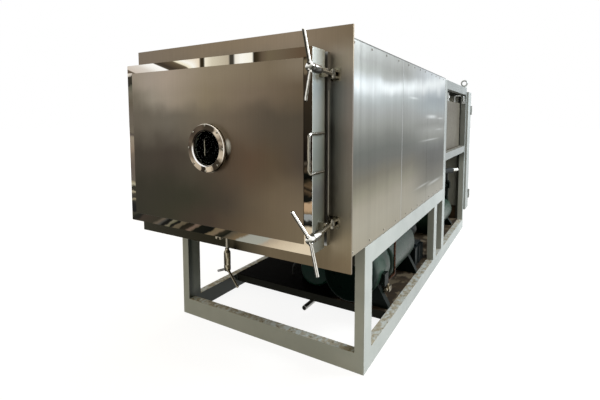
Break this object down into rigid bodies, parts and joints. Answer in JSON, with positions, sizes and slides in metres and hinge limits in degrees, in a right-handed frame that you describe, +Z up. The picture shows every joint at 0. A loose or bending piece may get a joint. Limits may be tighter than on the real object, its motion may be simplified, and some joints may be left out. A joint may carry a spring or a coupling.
{
  "type": "freeze dryer",
  "caption": "Box freeze dryer: square vacuum chamber with a hinged front door, sight glass and swing-bolt clamps, on a long tube frame with compressors and a rear control cabinet.",
  "frame": {"origin": "on the floor, at the middle of the underside of the frame's front cross rail", "axes": "+Z up, +Y from the door towards the control cabinet, +X to the right of someone who faces the door from the front"},
  "size_m": [1.591, 4.6538, 2.01],
  "materials": {
    "frame_paint": "satin light grey paint",
    "deck_steel": "brown primed plate",
    "zinc_steel": "zinc plated",
    "mask_steel": "satin stainless steel",
    "cladding_steel": "brushed stainless steel",
    "chamber_steel": "satin stainless steel",
    "door_mirror": "mirror polished stainless steel",
    "door_satin": "satin stainless steel",
    "polished_steel": "polished stainless steel",
    "seal_rubber": "silicone seal",
    "sight_glass": "borosilicate glass",
    "machine_green": "gloss machine enamel",
    "foot_green": "gloss machine enamel",
    "dark_green": "gloss machine enamel",
    "valve_brass": "forged brass",
    "copper_pipe": "oxidised copper",
    "black_rubber": "hose",
    "pump_blue": "dark enamel",
    "casing_beige": "satin paint",
    "pipe_insulation": "pipe insulation",
    "cabinet_paint": "powder coat",
    "gear_plastic": "moulded switchgear",
    "coil_steel": "bare tube"
  },
  "bodies": {
    "machine": {"bottom_rails": "frame_paint", "cross_rails": "frame_paint", "frame_posts": "frame_paint", "upper_rails": "frame_paint", "deck_plates": "deck_steel", "lifting_eyes": "zinc_steel", "chamber_flange": "chamber_steel", "chamber_walls": "chamber_steel", "chamber_back_plate": "chamber_steel", "chamber_ribs": "chamber_steel", "chamber_bearers": "chamber_steel", "heating_shelves": "coil_steel", "shelf_rack": "chamber_steel", "product_trays": "coil_steel", "shelf_manifolds": "chamber_steel", "mask_plate": "mask_steel", "side_panels": "cladding_steel", "cover_panels": "cladding_steel", "cladding_screws": "polished_steel", "door_brackets": "polished_steel", "pivot_pins": "polished_steel", "compressor_shell": "machine_green", "compressor_end_cover": "machine_green", "oil_sight_box": "foot_green", "service_valve": "valve_brass", "suction_pipe": "copper_pipe", "second_compressor": "dark_green", "oil_hose": "black_rubber", "machine_feet": "foot_green", "vacuum_pump": "pump_blue", "drain_pipe": "chamber_steel", "receiver": "machine_green", "receiver_valve": "foot_green", "discharge_pipe": "pipe_insulation", "tank_casing": "casing_beige", "bay_pipes": "zinc_steel", "cold_trap_vessel": "chamber_steel", "trap_coils": "coil_steel", "cabinet_shell": "cabinet_paint", "switchgear": "gear_plastic", "cabinet_hinge_plates": "zinc_steel"},
    "door": {"door_pan": "door_mirror", "door_front_panel": "door_satin", "door_plate": "door_satin", "door_seals": "seal_rubber", "sight_neck": "polished_steel", "sight_glass": "sight_glass", "sight_cover_ring": "polished_steel", "sight_screws": "polished_steel", "door_handle": "polished_steel", "door_hinge_leaves": "polished_steel", "door_catches": "polished_steel"},
    "clamp_upper": {"clamp_bolt_upper": "polished_steel"},
    "clamp_lower": {"clamp_bolt_lower": "polished_steel"},
    "clamp_bottom": {"clamp_bolt_bottom": "polished_steel"},
    "nut_upper": {"clamp_nut_upper": "polished_steel"},
    "nut_lower": {"clamp_nut_lower": "polished_steel"},
    "nut_bottom": {"clamp_nut_bottom": "polished_steel"},
    "cabinet_door": {"cabinet_door": "cabinet_paint"},
    "cabinet_latch": {"cabinet_latch": "zinc_steel"}
  },
  "joints": [
    {"name": "door_hinge", "type": "hinge", "parent": "machine", "child": "door", "pos_m": [-0.72, -0.436, 1.3405], "axis": [0, 0, 1], "range_deg": [-120, 0]},
    {"name": "clamp_upper_swing", "type": "hinge", "parent": "machine", "child": "clamp_upper", "pos_m": [0.698, -0.376, 1.714], "axis": [0, 0, 1], "range_deg": [-7, 80]},
    {"name": "clamp_lower_swing", "type": "hinge", "parent": "machine", "child": "clamp_lower", "pos_m": [0.698, -0.376, 0.979], "axis": [0, 0, 1], "range_deg": [-7, 80]},
    {"name": "clamp_bottom_swing", "type": "hinge", "parent": "machine", "child": "clamp_bottom", "pos_m": [0.014, -0.376, 0.817], "axis": [-1, 0, 0], "range_deg": [0, 90]},
    {"name": "nut_upper_turn", "type": "hinge", "parent": "clamp_upper", "child": "nut_upper", "pos_m": [0.698, -0.376, 1.714], "axis": [0.1219, -0.9925, 0], "continuous": true},
    {"name": "nut_lower_turn", "type": "hinge", "parent": "clamp_lower", "child": "nut_lower", "pos_m": [0.698, -0.376, 0.979], "axis": [0.1219, -0.9925, 0], "continuous": true},
    {"name": "nut_bottom_turn", "type": "hinge", "parent": "clamp_bottom", "child": "nut_bottom", "pos_m": [0.014, -0.376, 0.817], "axis": [0, 0, -1], "continuous": true},
    {"name": "cabinet_door_hinge", "type": "hinge", "parent": "machine", "child": "cabinet_door", "pos_m": [0.774, 3.88, 1.05], "axis": [0, 0, 1], "range_deg": [-110, 0]},
    {"name": "cabinet_latch_turn", "type": "hinge", "parent": "cabinet_door", "child": "cabinet_latch", "pos_m": [0.109, 3.89, 1.05], "axis": [0, 1, 0], "range_deg": [0, 90]}
  ]
}
